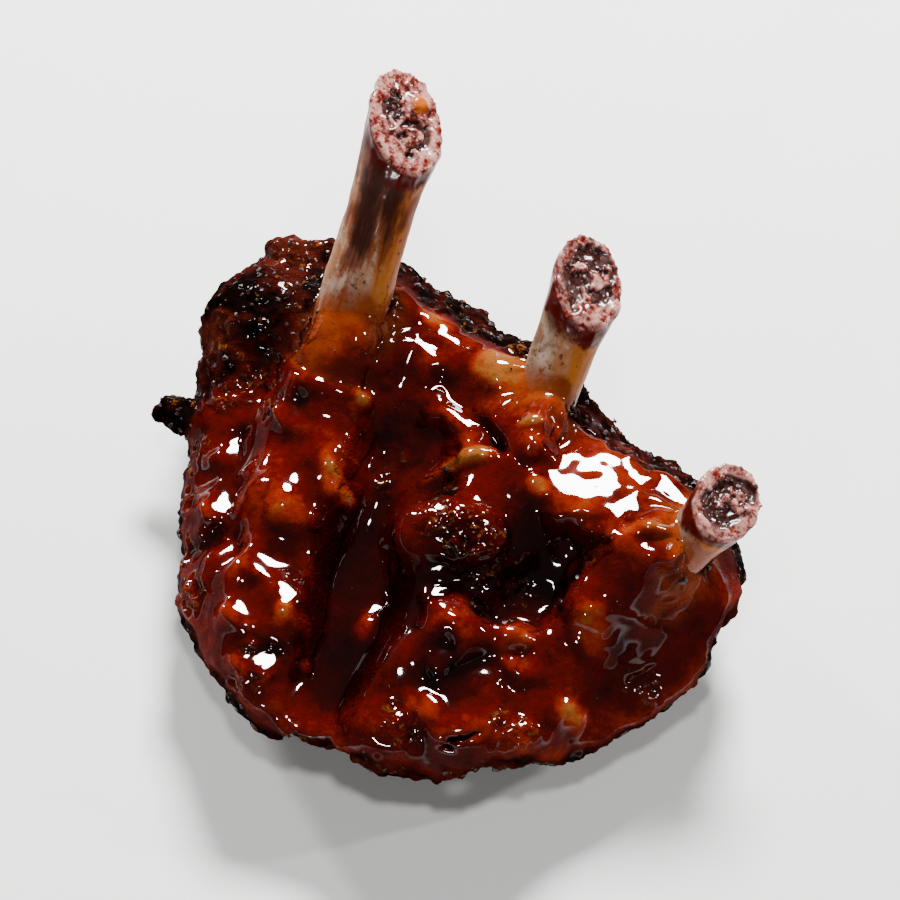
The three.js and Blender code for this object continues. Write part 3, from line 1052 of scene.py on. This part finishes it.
def scatter(name, meat, seed):
    """Loose bits of one kind in one mesh, each sunk a little into the meat."""
    count, smallest, largest, flatness, kind = BITS[name]
    draw = random.Random(seed)
    mesh = meat.data
    masks = {}
    for mask in ("crust", "rugged"):
        values = np.empty(len(mesh.vertices), dtype=np.float32)
        mesh.attributes[mask].data.foreach_get("value", values)
        masks[mask] = values
    masks["sauce"] = (1 - masks["crust"]) * (1 - masks["rugged"])
    seen_from_above = step(normals_of(mesh)[:, 2], -0.2, 0.3)
    likely = np.flatnonzero(masks[kind] * seen_from_above > 0.35)
    bm = bmesh.new()
    for _ in range(count):
        vertex = mesh.vertices[likely[draw.randrange(len(likely))]]
        size = draw.uniform(smallest, largest) * MM
        turn = vertex.normal.to_track_quat("Z", "Y").to_matrix().to_4x4()
        spin = Matrix.Rotation(draw.uniform(0, 2 * math.pi), 4, "Z")
        shape = Matrix.Diagonal((size, size * draw.uniform(0.5, 0.9), size * flatness, 1))
        place = Matrix.Translation(vertex.co)
        made = bmesh.ops.create_icosphere(bm, subdivisions=1, radius=0.5, matrix=place @ turn @ spin @ shape)
        for corner in made["verts"]:
            corner.co += Vector([draw.uniform(-0.12, 0.12) * size for _ in range(3)])
    return object_of(bm, name)


def ground_spice(name, tint, pale):
    """Coarse ground spice and flakes of char, mottled in two tints, with an even soft gloss."""
    material, tree = new_material(name)
    place = add_node(tree, "TexCoord", out="Object")
    patches = add_node(tree, "TexNoise", {"Vector": place, "Scale": per_metre(0.6), "Detail": 3})
    base = add_node(tree, "ValToRGB", {"Fac": patches}, stops=[(0, tint), (0.35, tint), (0.65, pale)])
    shader = add_node(tree, "BsdfPrincipled", {"Base Color": base, "Roughness": 0.4, "Specular IOR Level": 0.25})
    add_node(tree, "OutputMaterial", {"Surface": shader})
    return material


class RIBS_OT_bits(bpy.types.Operator):
    """Scatters flakes of char, spice and pepper over the meat."""

    bl_idname = "ribs.bits"
    bl_label = "Loose Bits"

    def execute(self, context):
        meat = bpy.data.objects["sauced_meat"]
        colours = context.scene.ribs_colours
        tints = {
            "char_flakes": (colours.crust_dark, colours.crust_brown),
            "spice_bits": (colours.crust_red, colours.crust_brown),
            "pepper_grains": (colours.crust_dark, colours.sauce_deep),
        }
        for seed, name in enumerate(BITS):
            piece = scatter(name, meat, seed)
            piece.data.materials.append(ground_spice(name, *tints[name]))
            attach(piece, "root")
        return {"FINISHED"}


# The camera: angles in degrees, distance in metres, lens in mm, and where it looks in mm
CAMERA_AZIMUTH = 20
CAMERA_ELEVATION = 58
CAMERA_DISTANCE = 0.8
CAMERA_LENS = 190
CAMERA_TARGET = (0, 4, 27)
FLOOR_SIZE = 3.0
WORLD_STRENGTH = 0.06

# Softboxes: azimuth and elevation in degrees, distance, width and height in metres, and watts
SOFTBOXES = {
    "key": (190, 43, 0.8, 0.28, 0.19, 26),
    "left": (239, 15, 0.8, 0.07, 0.13, 6.5),
    "right": (118, 28, 0.8, 0.03, 0.09, 2.2),
    "above": (20, 78, 0.9, 0.1, 0.1, 3.0),
    "front": (-5, 22, 0.9, 0.12, 0.05, 2.4),
}


def view_direction(azimuth, elevation):
    """The direction in which one looks down at the rack from an azimuth and elevation in degrees."""
    a, e = math.radians(azimuth), math.radians(elevation)
    return Vector((-math.sin(a) * math.cos(e), math.cos(a) * math.cos(e), -math.sin(e)))


def aim(obj, azimuth, elevation, distance):
    """Puts a light or the camera in the scene, at a distance from what the camera looks at, and aims it there."""
    target = Vector(CAMERA_TARGET) * MM
    obj.location = target - view_direction(azimuth, elevation) * distance
    obj.rotation_euler = (target - obj.location).to_track_quat("-Z", "Y").to_euler()
    bpy.context.scene.collection.objects.link(obj)


def add_softbox(name, azimuth, elevation, distance, width, height, watts):
    """Adds an oval area light that shines on the rack."""
    data = bpy.data.lights.new(name, "AREA")
    data.shape = "ELLIPSE"
    data.size, data.size_y = width, height
    data.energy = watts
    aim(bpy.data.objects.new(name, data), azimuth, elevation, distance)


class RIBS_OT_stage(bpy.types.Operator):
    """Makes the pale floor, the soft lights and the camera."""

    bl_idname = "ribs.stage"
    bl_label = "Stage"

    def execute(self, context):
        bm = bmesh.new()
        bmesh.ops.create_grid(bm, x_segments=2, y_segments=2, size=FLOOR_SIZE / 2)
        floor = object_of(bm, "floor")
        floor.data.materials.append(painted_studio_floor())

        world = bpy.data.worlds.new("studio")
        world.use_nodes = True
        background = world.node_tree.nodes["Background"]
        background.inputs["Color"].default_value = (1, 1, 1, 1)
        background.inputs["Strength"].default_value = WORLD_STRENGTH
        context.scene.world = world

        for name, settings in SOFTBOXES.items():
            add_softbox(name, *settings)

        data = bpy.data.cameras.new("camera")
        data.lens = CAMERA_LENS
        camera = bpy.data.objects.new("camera", data)
        aim(camera, CAMERA_AZIMUTH, CAMERA_ELEVATION, CAMERA_DISTANCE)
        context.scene.camera = camera
        return {"FINISHED"}


class RIBS_PT_panel(bpy.types.Panel):
    """Lists the steps that dress the rack."""

    bl_label = "Rack of Ribs"
    bl_idname = "RIBS_PT_panel"
    bl_space_type = "VIEW_3D"
    bl_region_type = "UI"
    bl_category = "Ribs"

    def draw(self, context):
        for step_class in STEPS:
            self.layout.operator(step_class.bl_idname)
        for group in (context.scene.ribs_sizes, context.scene.ribs_colours):
            for name in group.__annotations__:
                self.layout.prop(group, name)


STEPS = (RIBS_OT_meat, RIBS_OT_bones, RIBS_OT_bits, RIBS_OT_stage)
CLASSES = (RibsSizes, RibsColours, *STEPS, RIBS_PT_panel)


def register():
    """Registers the classes, and gives the scene its sizes and colours."""
    for each in CLASSES:
        bpy.utils.register_class(each)
    bpy.types.Scene.ribs_sizes = bpy.props.PointerProperty(type=RibsSizes)
    bpy.types.Scene.ribs_colours = bpy.props.PointerProperty(type=RibsColours)


def unregister():
    """Takes the sizes, the colours and the classes away again."""
    del bpy.types.Scene.ribs_colours
    del bpy.types.Scene.ribs_sizes
    for each in reversed(CLASSES):
        bpy.utils.unregister_class(each)


def main():
    """Makes the rack and its stage."""
    register()
    bpy.ops.ribs.meat()
    bpy.ops.ribs.bones()
    bpy.ops.ribs.bits()
    bpy.ops.ribs.stage()


if __name__ == "__main__":
    main()
